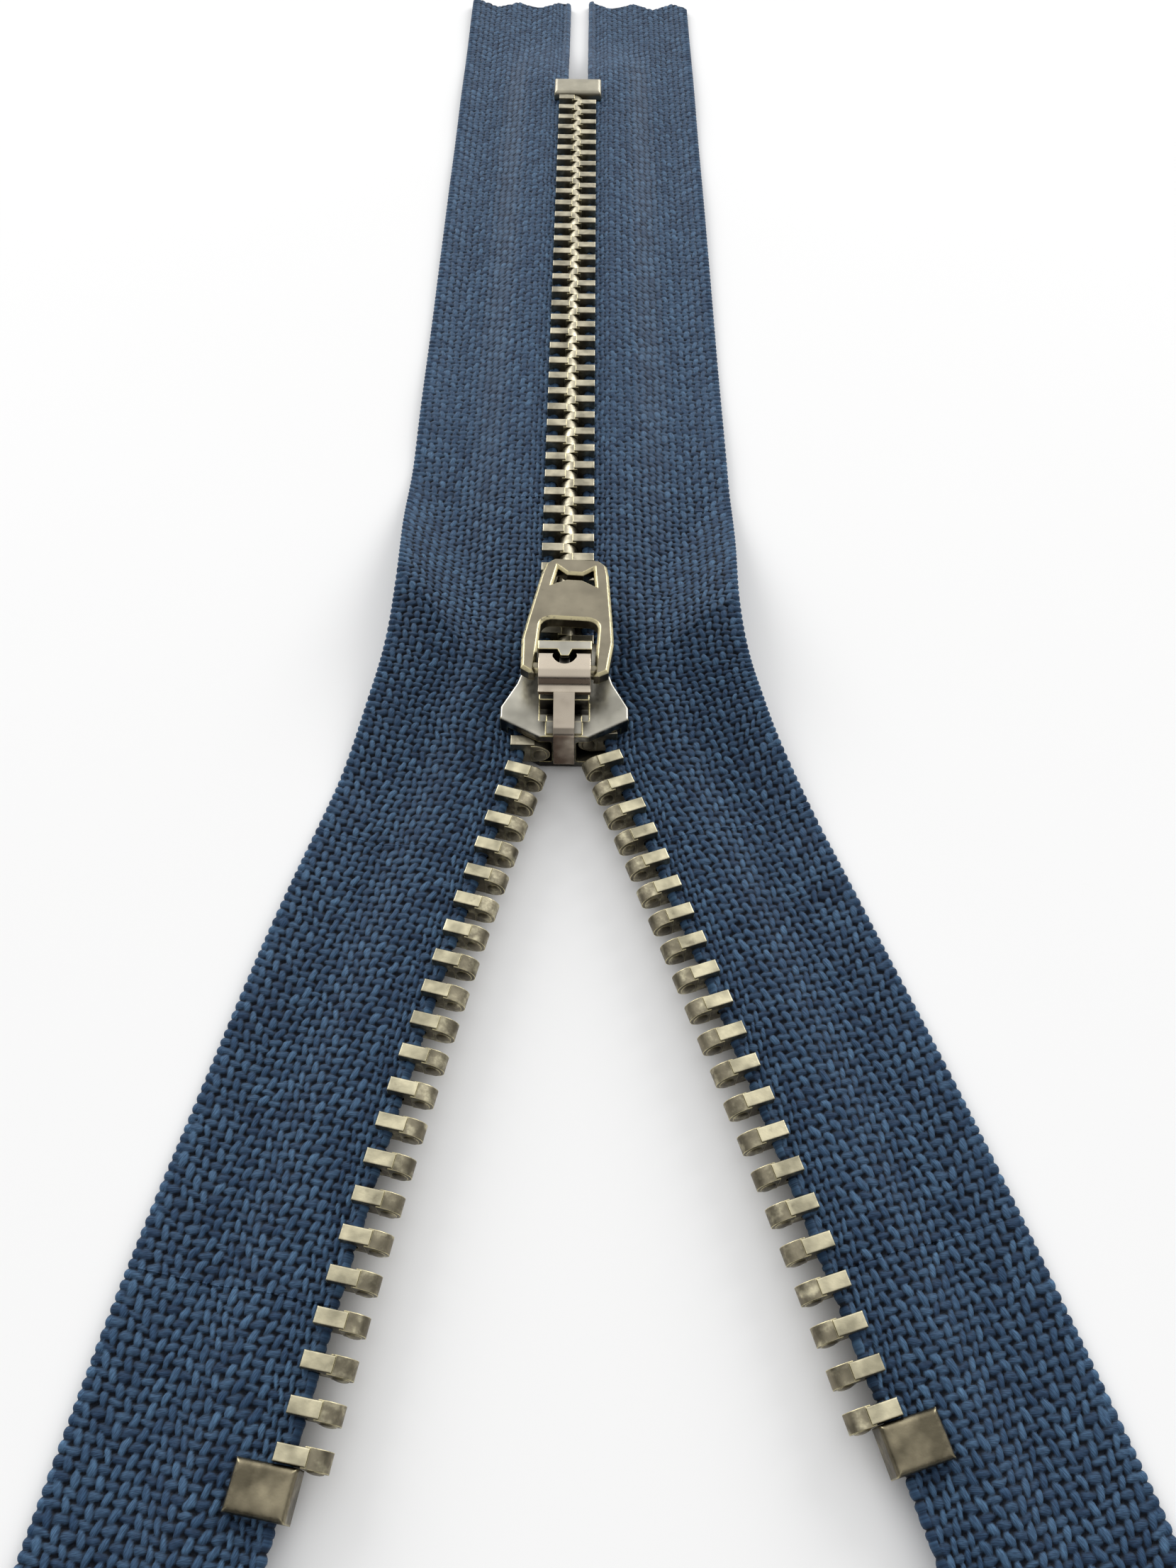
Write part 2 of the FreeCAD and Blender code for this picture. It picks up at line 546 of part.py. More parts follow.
# ---------------------------------------------------------------- slider casting
def build_slider():
    """Two plates joined by the wedge that parts the rows, side flanges, and the crown's base and rear lug."""
    body = doc.addObject("PartDesign::Body", "slider_body_body")
    shell = mirrored_outline([
        ("Sizes.nose_half", "Sizes.nose_level"), ("Sizes.shoulder_half", "Sizes.shoulder_front"),
        ("Sizes.shoulder_half", "Sizes.shoulder_back"), ("Sizes.rear_half + 0.35", "Sizes.waist_level"),
        ("Sizes.rear_half", "Sizes.waist_level + 1.2"), ("Sizes.rear_half", "Sizes.rear_level - 0.9"),
        ("Sizes.rear_half - 0.9", "Sizes.rear_level")])
    total = "2 * Sizes.plate_thick + Sizes.channel_height"
    sketch = sketch_on(body, "XY_Plane", "shell_plan")
    outline(sketch, shell)
    pad(body, sketch, "shell_block", total)
    wedge = mirrored_outline([("Sizes.wedge_half", "Sizes.nose_level"),
                              ("Sizes.wedge_half", "Sizes.nose_level + 0.7"),
                              ("0.12", "Sizes.wedge_tip")])
    slot = sketch_on(body, "XY_Plane", "slot_plan",
                     "Sizes.plate_thick + (Sizes.channel_height - Sizes.slot_height) / 2")
    outline(slot, mirrored_outline([("8", "Sizes.nose_level - 3"), ("8", "Sizes.rear_level + 3")]))
    outline(slot, wedge)
    pocket(body, slot, "tape_slots", "Sizes.slot_height")
    channel = sketch_on(body, "XY_Plane", "channel_plan", "Sizes.plate_thick")
    outline(channel, mirrored_outline([
        ("Sizes.mouth_half + 0.5", "Sizes.nose_level - 3"), ("Sizes.mouth_half", "Sizes.shoulder_front"),
        ("Sizes.mouth_half", "Sizes.shoulder_back"), ("Sizes.channel_half + 0.4", "Sizes.waist_level"),
        ("Sizes.channel_half", "Sizes.waist_level + 1.2"), ("Sizes.channel_half", "Sizes.rear_level + 3")]))
    outline(channel, wedge)
    pocket(body, channel, "tooth_channel", "Sizes.channel_height")
    front_wall = size("nose_level")
    low = size("plate_thick")
    high = low + size("channel_height")
    wedge_wide = size("wedge_half") + 0.01
    soften(body, "wedge_edges", "Fillet", "wedge_flare",
           lambda edge, middle: abs(middle.x) < wedge_wide and middle.y < size("wedge_tip") + 0.01
           and middle.y > front_wall + 0.01 and min(abs(middle.z - low), abs(middle.z - high)) < 1e-3)
    base = sketch_on(body, "YZ_Plane", "crown_base_profile")
    top = f"({total})"
    outline(base, [("Sizes.nose_level + 0.15", f"{top} - 0.1"), ("Sizes.nose_level + 1.5", f"{top} - 0.1"),
                   ("Sizes.nose_level + 1.5", f"{top} + 0.75"), ("Sizes.nose_level + 0.9", f"{top} + 0.75"),
                   ("Sizes.nose_level + 0.15", f"{top} + 0.15")])
    pad(body, base, "crown_base", "2 * Sizes.crown_half - 1.4", midplane=True)
    lug = sketch_on(body, "YZ_Plane", "rear_lug_profile")
    outline(lug, [("Sizes.lug_front", f"{top} - 0.1"), ("Sizes.lug_back + 0.5", f"{top} - 0.1"),
                  ("Sizes.lug_back", f"{top} + 0.9"), ("Sizes.lug_back", "Sizes.lug_top"),
                  ("Sizes.lug_front", "Sizes.lug_top")])
    pad(body, lug, "rear_lug", "2 * Sizes.crown_half", midplane=True)
    post = sketch_on(body, "YZ_Plane", "front_lug_profile")
    outline(post, [("Sizes.front_lug_front - 0.75", f"{top} - 0.1"), ("Sizes.front_lug_back + 0.5", f"{top} - 0.1"),
                   ("Sizes.front_lug_back", f"{top} + 0.5"), ("Sizes.front_lug_back", "Sizes.front_lug_top"),
                   ("Sizes.front_lug_front", "Sizes.front_lug_top"), ("Sizes.front_lug_front", f"{top} + 0.7"),
                   ("Sizes.front_lug_front - 0.2", f"{top} + 0.3")])
    pad(body, post, "front_lug", "2 * Sizes.front_lug_half", midplane=True)
    tongue = sketch_on(body, "XY_Plane", "tongue_plan", "Sizes.lug_top - 0.3")
    outline(tongue, mirrored_outline([("Sizes.tongue_half * 0.6", "Sizes.tongue_tip"),
                                      ("Sizes.tongue_half * 1.3", "Sizes.lug_front + 0.2")]))
    pad(body, tongue, "rear_tongue", "0.3")
    hole = sketch_on(body, "XY_Plane", "claw_hole_plan", "Sizes.plate_thick + Sizes.channel_height - 0.1")
    claw_side = "Sizes.claw_half + 0.1"
    outline(hole, mirrored_outline([(claw_side, "Sizes.lug_front - 0.55"),
                                    (claw_side, "Sizes.lug_front - 0.05")]))
    pocket(body, hole, "claw_hole", "Sizes.plate_thick + 0.15")
    roof = evaluate(total)
    soften(body, "plate_edges", "Fillet", "plate_round", lambda edge, middle: abs(middle.z - roof) < 1e-3
           and abs(middle.x) > size("crown_half") + 0.05)
    soften(body, "sole_edges", "Fillet", "plate_round", lambda edge, middle: abs(middle.z) < 1e-3)
    return keep(body, "slider_body")


build_slider()


# ---------------------------------------------------------------- spring cover, claw and pull tab
def rounded_line(points, radius):
    """Wire through straight runs joined by tangent arcs, each arc as large as its runs allow."""
    edges = []
    start = points[0]
    for before, corner, after in zip(points, points[1:], points[2:]):
        back_way = (before - corner).normalize()
        on_way = (after - corner).normalize()
        half_angle = back_way.getAngle(on_way) / 2
        room = 0.45 * min((before - corner).Length, (after - corner).Length)
        reach = min(radius / math.tan(half_angle), room)
        bend = reach * math.tan(half_angle)
        inner = corner + (back_way + on_way).normalize() * (bend / math.sin(half_angle) - bend)
        edges.append(Part.makeLine(start, corner + back_way * reach))
        edges.append(Part.Arc(corner + back_way * reach, inner, corner + on_way * reach).toShape())
        start = corner + on_way * reach
    edges.append(Part.makeLine(start, points[-1]))
    return Part.Wire(edges)


def strip(points, thick, half):
    """Bent sheet whose outer face follows a line in YZ; it is thickened below that line."""
    face = rounded_line(points, 0.5).makeOffset2D(thick, 0, True, True)
    return face.translated(V(-half, 0, 0)).extrude(V(2 * half, 0, 0))


def build_cover():
    """Stamped spring cover: a narrow leg up the slider's nose and a wide band over the pull's bar."""
    thick = size("cover_thick")
    top = size("cover_top")
    nose = size("nose_level") - thick - 0.1
    leg_line = [V(0, nose, 1.1), V(0, nose, 4.8), V(0, nose + 0.45, 5.3), V(0, -2.6, top - 1.05),
                V(0, -2.1, top - 1.0)]
    band_line = [V(0, -2.6, top - 1.05), V(0, -2.1, top - 1.0), V(0, -1.75, top - 0.25),
                 V(0, -1.2, top), V(0, -0.1, top), V(0, 0.6, top - 0.25)]
    shape = strip(leg_line, thick, size("cover_leg_half")).fuse(strip(band_line, thick, size("cover_half")))
    notch = Part.makeCylinder(0.95, 4, V(0, 0.3, top - 2))
    feature("spring_cover", shape.cut(notch).removeSplitter())


def build_claw():
    """Locking claw: an arm over the pull's bar and a leg down through the upper plate to the teeth."""
    body = doc.addObject("PartDesign::Body", "lock_claw_body")
    sketch = sketch_on(body, "YZ_Plane", "claw_profile")
    back = "Sizes.lug_front - 0.15"
    leg = "Sizes.lug_front - 0.15 - Sizes.claw_thick"
    outline(sketch, [(leg, "Sizes.claw_tip"), (back, "Sizes.claw_tip + 0.3"),
                     (back, "Sizes.claw_arm + Sizes.claw_thick"),
                     ("Sizes.pull_offset - 0.8", "Sizes.claw_arm + Sizes.claw_thick"),
                     ("Sizes.pull_offset - 0.8", "Sizes.claw_arm"), (leg, "Sizes.claw_arm")])
    pad(body, sketch, "claw_strip", "2 * Sizes.claw_half", midplane=True)
    return keep(body, "lock_claw")


def build_pull():
    """Pull tab: a bevelled plate with a window, its bar through the crown, and a bow-tie hole at its tip."""
    body = doc.addObject("PartDesign::Body", "pull_tab_body")
    sketch = sketch_on(body, "XY_Plane", "pull_plan", "-Sizes.pull_thick / 2")
    end = "Sizes.pull_length"
    outline(sketch, mirrored_outline([
        ("2.75", "-0.8"), ("3.45", "-0.3"), ("3.7", "3.0"), ("3.5", "5.2"), ("2.85", f"{end} - 2"),
        ("2.6", f"{end} - 0.7"), ("1.9", end)]))
    pad(body, sketch, "pull_plate", "Sizes.pull_thick")
    window = sketch_on(body, "XY_Plane", "window_plan", "-Sizes.pull_thick")
    side_wall = "Sizes.window_half"
    outline(window, mirrored_outline([(side_wall, "-2"), (side_wall, "Sizes.window_end")]))
    pocket(body, window, "window", "2 * Sizes.pull_thick")
    bow = sketch_on(body, "XY_Plane", "bow_plan", "-Sizes.pull_thick")
    outline(bow, mirrored_outline([("0.7", f"{end} - 2.7"), ("1.75", f"{end} - 3.35"),
                                   ("1.5", f"{end} - 1.25"), ("0.7", f"{end} - 2.0")]))
    pocket(body, bow, "bow_tie_hole", "2 * Sizes.pull_thick")
    reach = size("window_end")
    half = size("window_half")
    soften(body, "window_corners", "Fillet", "window_round",
           lambda edge, middle: is_upright(edge) and abs(middle.y - reach) < 1e-3 and abs(middle.x) < half + 0.01)
    tip = size("pull_length")
    soften(body, "tip_corners", "Fillet", "tip_round",
           lambda edge, middle: is_upright(edge) and middle.y > tip - 0.8 and abs(middle.x) > 1.8)
    level = size("pull_thick") / 2
    soften(body, "pull_edges", "Chamfer", "pull_bevel",
           lambda edge, middle: abs(abs(middle.z) - level) < 1e-3)
    bar = body.newObject("PartDesign::AdditiveCylinder", "pull_bar")
    bar.AttachmentSupport = [(plane_of(body, "YZ_Plane"), "")]
    bar.MapMode = "FlatFace"
    bind(bar, Radius="Sizes.bar_radius", Height="2 * Sizes.window_half + 0.6")
    bar.setExpression("AttachmentOffset.Base.z", "-Sizes.window_half - 0.3")
    spin = FreeCAD.Rotation(UP, -size("pull_skew")).multiply(FreeCAD.Rotation(V(1, 0, 0), -size("pull_slope")))
    body.Placement = FreeCAD.Placement(V(0, size("pull_offset"), size("pull_level")), spin)
    return keep(body, "pull_tab")


build_cover()
build_claw()
build_pull()


# ---------------------------------------------------------------- checks and files
doc.recompute()
for thing in doc.Objects:
    if "Invalid" in thing.State or "Error" in thing.State:
        raise RuntimeError(f"{thing.Name} failed: {thing.State}")
for thing in SUBPARTS:
    if thing.Shape.isNull() or not thing.Shape.isValid():
        raise RuntimeError(f"{thing.Label} has no valid shape")
os.makedirs("parts", exist_ok=True)
for thing in SUBPARTS:
    thing.Shape.exportStep(f"parts/{thing.Label}.step")
    print(f"{thing.Label:26s} {len(thing.Shape.Solids):3d} solids {thing.Shape.Volume:9.2f} mm3")
for side in SIDES:
    spot, turn = LINES[side].pivot()
    print(side, "pivot", round(spot.x, 3), round(spot.y, 3), "turn", round(math.degrees(turn), 2))
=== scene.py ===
"""Metal zipper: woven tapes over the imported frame, metal finishes, floor, light and camera.

Lengths inside the tape code are millimetres; every object is written in metres.
"""
import bpy
import math
import numpy as np
from mathutils import Matrix, Vector


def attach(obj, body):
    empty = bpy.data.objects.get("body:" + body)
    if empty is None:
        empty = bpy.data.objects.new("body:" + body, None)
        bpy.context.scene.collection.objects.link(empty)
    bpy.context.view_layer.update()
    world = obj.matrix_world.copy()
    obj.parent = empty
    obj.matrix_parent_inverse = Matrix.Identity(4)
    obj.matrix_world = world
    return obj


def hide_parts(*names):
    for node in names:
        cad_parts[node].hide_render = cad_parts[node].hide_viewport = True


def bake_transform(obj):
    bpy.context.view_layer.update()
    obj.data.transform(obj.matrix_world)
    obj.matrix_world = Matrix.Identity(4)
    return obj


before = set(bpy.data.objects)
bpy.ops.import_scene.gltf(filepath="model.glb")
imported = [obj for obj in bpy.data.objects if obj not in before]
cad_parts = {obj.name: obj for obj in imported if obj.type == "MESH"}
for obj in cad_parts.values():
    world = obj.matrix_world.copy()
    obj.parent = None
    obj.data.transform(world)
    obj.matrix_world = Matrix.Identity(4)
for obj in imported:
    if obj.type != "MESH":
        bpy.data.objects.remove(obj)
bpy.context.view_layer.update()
MM = 0.001
SIDES = ("left", "right")


# ---------------------------------------------------------------- camera
CAMERA_PLACE = (1.327, -60.727, 79.166)
CAMERA_TILT = 55.60
CAMERA_YAW = 0.644
CAMERA_ROLL = -1.198
LENS = 27.68
SENSOR = 36
CLIP_START = 0.001


def make_camera():
    """Camera at the place and turn that were fitted to the photograph."""
    tilt, yaw, roll = (math.radians(angle) for angle in (CAMERA_TILT, CAMERA_YAW, CAMERA_ROLL))
    forward = Vector((math.sin(yaw) * math.cos(tilt), math.cos(yaw) * math.cos(tilt), -math.sin(tilt)))
    level = Vector((math.cos(yaw), -math.sin(yaw), 0))
    under = forward.cross(level)
    right = math.cos(roll) * level + math.sin(roll) * under
    down = -math.sin(roll) * level + math.cos(roll) * under
    data = bpy.data.cameras.new("camera")
    data.sensor_fit = "VERTICAL"
    data.sensor_height = SENSOR
    data.lens = LENS
    data.clip_start = CLIP_START
    camera = bpy.data.objects.new("camera", data)
    bpy.context.scene.collection.objects.link(camera)
    turn = Matrix((right, -down, -forward)).transposed().to_4x4()
    camera.matrix_world = Matrix.Translation(Vector(CAMERA_PLACE) * MM) @ turn
    bpy.context.scene.camera = camera


# ---------------------------------------------------------------- node trees
class Shader:
    """Short forms for building a node tree."""

    def __init__(self, tree):
        self.tree = tree
        tree.nodes.clear()

    def node(self, kind, inputs=(), **settings):
        """New node, with its settings and the values or links of its inputs."""
        made = self.tree.nodes.new(f"ShaderNode{kind}")
        for key, value in settings.items():
            setattr(made, key, value)
        for key, value in dict(inputs).items():
            self.feed(made, key, value)
        return made

    def feed(self, node, key, value):
        """Link a socket to an input, or set the input's value."""
        socket = node.inputs[key]
        if isinstance(value, bpy.types.NodeSocket):
            self.tree.links.new(value, socket)
        else:
            socket.default_value = value

    def math(self, operation, first, second=0.0):
        """One sum, product or other operation on values."""
        made = self.node("Math", {0: first, 1: second}, operation=operation)
        return made.outputs[0]

    def mix(self, factor, first, second, blend="MIX"):
        """Blend of two colours."""
        made = self.node("Mix", data_type="RGBA", blend_type=blend)
        self.feed(made, 0, factor)
        self.feed(made, 6, first)
        self.feed(made, 7, second)
        return made.outputs[2]

    def ramp(self, value, low, high):
        """Smooth step of a value between two levels."""
        made = self.node("MapRange", {"Value": value, "From Min": low, "From Max": high},
                         interpolation_type="SMOOTHSTEP")
        return made.outputs["Result"]

    def noise(self, vector, scale, detail=3.0, roughness=0.55):
        """Grey noise from 0 to 1."""
        made = self.node("TexNoise", {"Vector": vector, "Scale": scale, "Detail": detail,
                                      "Roughness": roughness})
        return made.outputs["Fac"]


# ---------------------------------------------------------------- floor and light
FLOOR_REACH = 2.0
FLOOR_DROP = 0.05
FLOOR_TONES = (0.93, 0.93, 0.925, 1), (0.95, 0.95, 0.95, 1)
FLOOR_GRAIN = 14.0
DIM_SKY, BRIGHT_SKY = (0.07, 0.07, 0.075, 1), (1.0, 1.0, 1.0, 1)
SKY_STRENGTH = 0.99
FAR_RAMP = (-0.35, 0.5)
TOP_RAMP = (0.25, 0.85)
TOP_SHARE = 0.78
PANEL_PLACES = {"left_panel": (-0.75, 0.95, 0.56), "right_panel": (0.75, 0.95, 0.56)}
PANEL_AIM = (0, 0.02, 0)
PANEL_SIZE = 0.7
PANEL_POWER = 6.6


def make_floor():
    """White paper just under the zipper."""
    mesh = bpy.data.meshes.new("floor")
    reach = FLOOR_REACH
    mesh.from_pydata([(-reach, -reach, 0), (reach, -reach, 0), (reach, reach, 0), (-reach, reach, 0)],
                     [], [(0, 1, 2, 3)])
    floor = bpy.data.objects.new("floor", mesh)
    floor.location.z = -FLOOR_DROP * MM
    bpy.context.scene.collection.objects.link(floor)
    material = bpy.data.materials.new("paper_floor")
    material.use_nodes = True
    shader = Shader(material.node_tree)
    spot = shader.node("TexCoord").outputs["Object"]
    tone = shader.mix(shader.noise(spot, FLOOR_GRAIN), *FLOOR_TONES)
    body = shader.node("BsdfPrincipled", {"Base Color": tone, "Roughness": 0.85, "Specular IOR Level": 0.2})
    shader.node("OutputMaterial", {"Surface": body.outputs[0]})
    mesh.materials.append(material)


def make_sky():
    """Studio light that is bright at the far side and from above, and dim behind the camera."""
    world = bpy.data.worlds.new("studio")
    bpy.context.scene.world = world
    world.use_nodes = True
    shader = Shader(world.node_tree)
    way = shader.node("SeparateXYZ", {0: shader.node("TexCoord").outputs["Generated"]})
    far = shader.ramp(way.outputs["Y"], *FAR_RAMP)
    high = shader.math("MULTIPLY", shader.ramp(way.outputs["Z"], *TOP_RAMP), TOP_SHARE)
    tone = shader.mix(shader.math("MAXIMUM", far, high), DIM_SKY, BRIGHT_SKY)
    back = shader.node("Background", {"Color": tone, "Strength": SKY_STRENGTH})
    shader.node("OutputWorld", {"Surface": back.outputs[0]})


def make_panel(name, place):
    """Round soft light aimed at the slider."""
    data = bpy.data.lights.new(name, "AREA")
    data.shape = "DISK"
    data.size = PANEL_SIZE
    data.energy = PANEL_POWER
    lamp = bpy.data.objects.new(name, data)
    bpy.context.scene.collection.objects.link(lamp)
    lamp.location = place
    lamp.rotation_euler = (Vector(PANEL_AIM) - Vector(place)).to_track_quat("-Z", "Y").to_euler()


def make_stage():
    """Everything around the zipper, with plain colours as the photograph has them."""
    bpy.context.scene.view_settings.view_transform = "Standard"
    make_floor()
    make_sky()
    for name, place in PANEL_PLACES.items():
        make_panel(name, place)


# ---------------------------------------------------------------- line that each tape follows
# plan, along the chain
TAIL_END = 127.5
STOP_BACK = 100.0
FORK_START = 3.4
CHAIN_HALF = 2.3
MOUTH, MOUTH_TURN = (4.1, -2.6), math.radians(8.0)
LEG_START = {"left": (4.42, -6.96), "right": (4.52, -5.8)}
LEG_TURN = {"left": math.radians(16.0), "right": math.radians(20.6)}
LEG_RADIUS = {"left": 451.0, "right": 716.0}
LEG_END = 73.28
FOLD_START = {"left": 17.0, "right": 10.0}
FOLD_PAST = 4
# section of the tape, outwards from the row line
TAPE_REACH = 12.8
BEAD_INSET = 0.62
BEAD_RADIUS = 0.45
TAPE_HALF = 0.275
CHAIN_LEVEL = 2.05
LEVEL_WIDTH = 3.0
SLOPE_WIDTH = 5.2
# cut ends
PINK_PITCH = 5.6
PINK_DEPTH = 1.9
PINK_REACH = 4.5
PINK_SHIFT = {"left": 2.5, "right": 3.7}
TAIL_SINK = 15.0
# smoothing of the line that the tape's outer part follows
CALM_STEP = 0.1
CALM_REACH = 11.0
# points along each stretch of the line
CLOSED_POINTS = 1200
BEND_POINTS = 200
LEG_POINTS = 800


def smooth(t):
    """Smooth step from 0 to 1."""
    t = np.clip(t, 0.0, 1.0)
    return t * t * (3 - 2 * t)


def bend(start, start_turn, end, end_turn):
    """Points of a curve that leaves and arrives in the given headings."""
    start, end = np.array(start), np.array(end)
    handle = np.linalg.norm(end - start) / 3
    first = start + handle * np.array([math.sin(start_turn), -math.cos(start_turn)])
    second = end - handle * np.array([math.sin(end_turn), -math.cos(end_turn)])
    t = np.linspace(0, 1, BEND_POINTS)[:, None]
    rest = 1 - t
    return rest ** 3 * start + 3 * rest ** 2 * t * first + 3 * rest * t ** 2 * second + t ** 3 * end


class RowLine:
    """Plan of the teeth's outer ends on the right-hand side, by the distance s from the tail's end."""

    def __init__(self, side):
        self.side = side
        self.turn = LEG_TURN[side]
        self.radius = LEG_RADIUS[side]
        leg = np.array(LEG_START[side])
        closed = np.array([(CHAIN_HALF, y) for y in np.linspace(TAIL_END, FORK_START, CLOSED_POINTS)])
        fork = np.vstack([bend((CHAIN_HALF, FORK_START), 0.0, MOUTH, MOUTH_TURN)[1:],
                          bend(MOUTH, MOUTH_TURN, leg, self.turn)[1:]])
        centre = leg - self.radius * np.array([math.cos(self.turn), math.sin(self.turn)])
        past = np.linspace(0, LEG_END + 1, LEG_POINTS)[1:]
        angle = self.turn - past / self.radius
        arc = centre + self.radius * np.stack([np.cos(angle), np.sin(angle)], axis=1)
        self.points = np.vstack([closed, fork, arc])
        steps = np.linalg.norm(np.diff(self.points, axis=0), axis=1)
        self.s = np.concatenate([[0], np.cumsum(steps)])
        self.leg_s = self.s[len(closed) + len(fork) - 1]
        self.end_s = self.leg_s + LEG_END
        self.fold_s = TAIL_END - FOLD_START[side]
        even = np.arange(0, self.s[-1], CALM_STEP)
        window = np.hanning(2 * int(CALM_REACH / CALM_STEP) + 1)
        room = len(window) // 2
        padded = np.pad(np.interp(even, self.s, self.points[:, 0]), room, mode="reflect", reflect_type="odd")
        self.calm_s = even
        self.calm_x = np.convolve(padded, window / window.sum(), mode="valid")

    def at(self, s):
        """Plan point, the weft line's turn, and how far the smoothed line lies outwards, at distances s."""
        x = np.interp(s, self.s, self.points[:, 0])
        y = np.interp(s, self.s, self.points[:, 1])
        leg_angle = self.turn - np.maximum(s - self.leg_s, 0) / self.radius
        turn = leg_angle * smooth((s - self.fold_s) / (self.leg_s + FOLD_PAST - self.fold_s))
        return x, y, turn, np.interp(s, self.calm_s, self.calm_x) - x


# ---------------------------------------------------------------- weave
WARP = 0.72
PICK = 0.66
FINE_WARP = 0.5
FINE_EDGE = 1.5
BANDS = (4.4, 7.25, 9.4)
# half width of a float and its spread, half length, depth below the other yarns, lean
WARP_FLOAT = (0.40, 0.07, 0.80, 0.03, 0.22)
WEFT_FLOAT = (0.43, 0.08, 0.74, 0.05, 0.13)
CREST = 0.29
PLUMP = 0.32
# how far the yarns wander and the size of their waves: broad, then fine
ACROSS_WANDER = (0.08, 5.0, 0.045, 1.6)
ALONG_WANDER = (0.11, 4.0, 0.055, 1.3)
WAVES = 5
ROUND = 6.283


def wobble(u, v, seed, size):
    """Smooth irregular field between about -1 and 1."""
    random = np.random.default_rng(seed)
    total = np.zeros(np.broadcast(u, v).shape)
    for _ in range(WAVES):
        fu, fv = random.uniform(0.5, 1.6, 2) / size
        turn, phase = random.uniform(-0.7, 0.7), random.uniform(0, 6.28)
        total += np.sin(ROUND * (fu * (u + turn * v) + fv * v) + phase)
    return total / 3.2


def hashed(i, j, seed):
    """Random value from 0 to 1 for whole numbers i, j."""
    mixed = np.sin(i * 12.9898 + j * 78.233 + seed * 37.719) * 43758.5453
    return mixed - np.floor(mixed)


def float_height(across, along, half, reach, depth):
    """Plump lens of one float; below zero outside it."""
    edge = np.abs(across / half) ** 2.3 + np.abs(along / reach) ** 2.8
    return np.where(edge < 1, PLUMP * np.sqrt(np.clip(1 - edge, 0, 1)) - depth, -1.0)


def float_place(run):
    """Place along a float, from -1 to 1, and the float's number, from the run along its yarn."""
    return run % 2 - 1, np.floor(run / 2)


def lay_over(cloth, height, kind, tint):
    """Cloth of height, kind and shade, with one more float laid over it where the float is higher."""
    new = height > cloth[0]
    return tuple(np.where(new, value, old) for value, old in zip((height, kind, tint), cloth))


def weave(u, v, seed):
    """Relief of the herringbone: depth below the crest, warp mask, shade of each float.

    Warp and weft floats lie in turn like a chequerboard, and lean one way or the other in bands along
    the tape.
    """
    broad, broad_size, fine, fine_size = ACROSS_WANDER
    u = u + broad * wobble(u, v, seed, broad_size) + fine * wobble(u, v, seed + 7, fine_size)
    broad, broad_size, fine, fine_size = ALONG_WANDER
    v = v + broad * wobble(u, v, seed + 1, broad_size) + fine * wobble(u, v, seed + 8, fine_size)
    a = (u - FINE_EDGE) / np.where(u < FINE_EDGE, FINE_WARP, WARP)
    b = v / PICK
    band = (a >= 0) + sum((a >= round((edge - FINE_EDGE) / WARP)).astype(int) for edge in BANDS)
    way = np.where(band % 2 == 0, -1.0, 1.0)
    cloth = np.full(a.shape, -1.0), np.zeros(a.shape), np.zeros(a.shape)
    half, spread, reach, depth, lean = WARP_FLOAT
    for step in (-1, 0, 1):
        yarn = np.floor(a) + step
        along, number = float_place(b - yarn + 0.5)
        across = a - yarn - 0.5 - lean * way * along
        height = float_height(across, along, half + spread * hashed(yarn, number, seed), reach, depth)
        cloth = lay_over(cloth, height, 1.0, hashed(yarn, number, seed + 2))
    half, spread, reach, depth, lean = WEFT_FLOAT
    for step in (-1, 0, 1):
        pick = np.floor(b) + step
        along, number = float_place(a - pick - 0.5)
        across = b - pick - 0.5 - lean * way * along
        height = float_height(across, along, half + spread * hashed(number, pick, seed + 5), reach, depth)
        cloth = lay_over(cloth, height, 0.0, hashed(number, pick, seed + 3))
    top, is_warp, shade = cloth
    return np.clip(top, -0.02, CREST) - CREST, is_warp, shade


# ---------------------------------------------------------------- lie of the tape
def section_level(u):
    """Height of the tape's middle plane above the floor across the tape."""
    t = np.clip((u - LEVEL_WIDTH) / SLOPE_WIDTH, 0, 1)
    low = np.linspace(0, 1, 201)
    along = 1.5 * low * (1 - low) ** 2 + 1.5 * low ** 2 * (1 - low) + low ** 3
    fall = 3 * low ** 2 * (1 - low) + low ** 3
    return CHAIN_LEVEL + (TAPE_HALF - CHAIN_LEVEL) * np.interp(t, along, fall)


# start beside the row line, rise of the crest towards the edge, height, length behind, length in front
RIDGE = {"left": (-2.0, 14.5, 3.7, 19.0, 20.0), "right": (1.5, 8.0, 4.0, 19.0, 21.0)}
DRIFT_SEED = {"left": 11, "right": 23}
DRIFT_SIZE = 34.0
DRIFT_HEIGHT = 0.16


def ridge(side, u, y):
    """Lift of the buckle that the turn of the open leg leaves beside the slider."""
    start, rise, height, far, near = RIDGE[side]
    share = np.clip(u / TAPE_REACH, 0, 1)
    past = y - (start + rise * share)
    length = np.where(past > 0, far, near) * (0.35 + 0.65 * share)
    t = np.clip(np.sqrt(past ** 2 + 0.3) / length, 0, 1)
    fall = np.where(past > 0, 1 - smooth(t), (1 - t) ** 1.35)
    return height * smooth((u - 0.9) / 10.0) * fall


def drift(side, u, s):
    """Slight waviness of the lying tape, only upwards."""
    return DRIFT_HEIGHT * (1 + wobble(u, s, DRIFT_SEED[side], DRIFT_SIZE)) * smooth((u - 5) / 7)


# ---------------------------------------------------------------- tape meshes
COLUMN = 0.088
UNDER_COLUMN = 0.36
OUTER_INSET = 0.26
OUTER_ARC = 9
INNER_ARC = 13
CLOTH_SEED = {"left": 3, "right": 8}
# the far cloth's relief is lower by a share, which fades out over a run that ends beside the slider
FLAT_START = 5
FLAT_RUN = 35
FLAT_SHARE = 0.4
